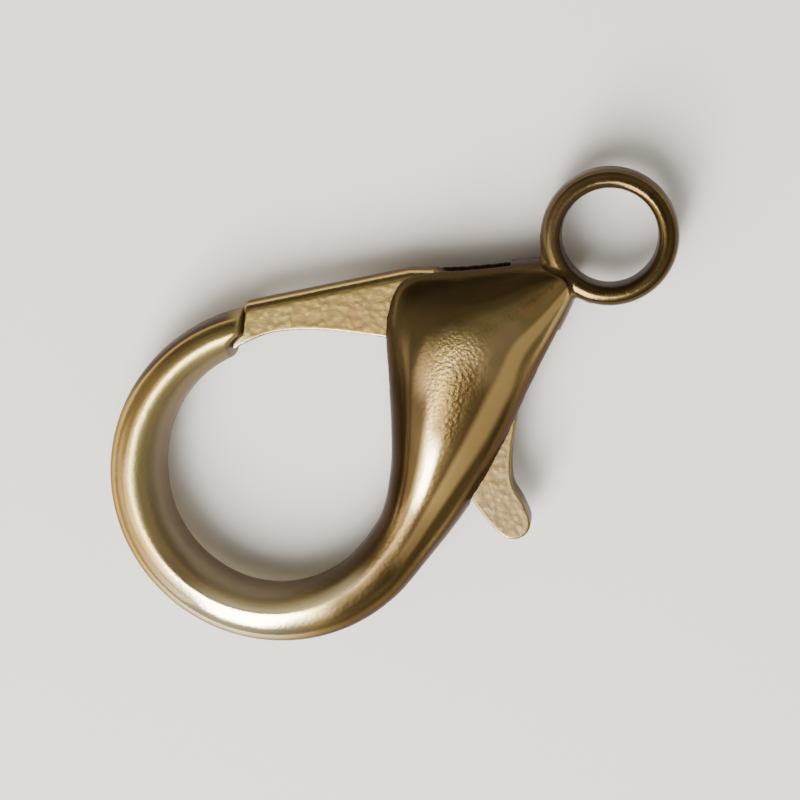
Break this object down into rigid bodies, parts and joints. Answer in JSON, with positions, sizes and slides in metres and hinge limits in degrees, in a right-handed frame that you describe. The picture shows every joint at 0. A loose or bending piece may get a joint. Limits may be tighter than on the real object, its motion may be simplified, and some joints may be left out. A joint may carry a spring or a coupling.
{
  "type": "lobster clasp",
  "caption": "Cast lobster clasp with a round eye, a hooked rod that closes on a sprung lever gate, and a thumb tab that opens it.",
  "frame": {"origin": "centre of the eye's hole, half way through the clasp's depth", "axes": "+X from the eye to the far end of the hook, +Y towards the thumb tab, +Z out of the clasp's face along the eye's hole"},
  "size_m": [0.0349, 0.0196, 0.0064],
  "materials": {
    "cast_bronze_plate": "satin antique-bronze plating on a zinc casting",
    "lever_bronze_plate": "pebbled antique-bronze plating on a zinc casting",
    "pin_steel": "plain drawn pin"
  },
  "bodies": {
    "hook": {"hook_body": "cast_bronze_plate", "pivot_pin": "pin_steel"},
    "lever": {"lever": "lever_bronze_plate"}
  },
  "joints": [
    {"name": "gate", "type": "hinge", "parent": "hook", "child": "lever", "pos_m": [0.0098, -0.0008, 0], "axis": [0, 0, 1], "range_deg": [0, 28], "stiffness_Nm_per_rad": 0.02, "springref_deg": -34.38}
  ]
}
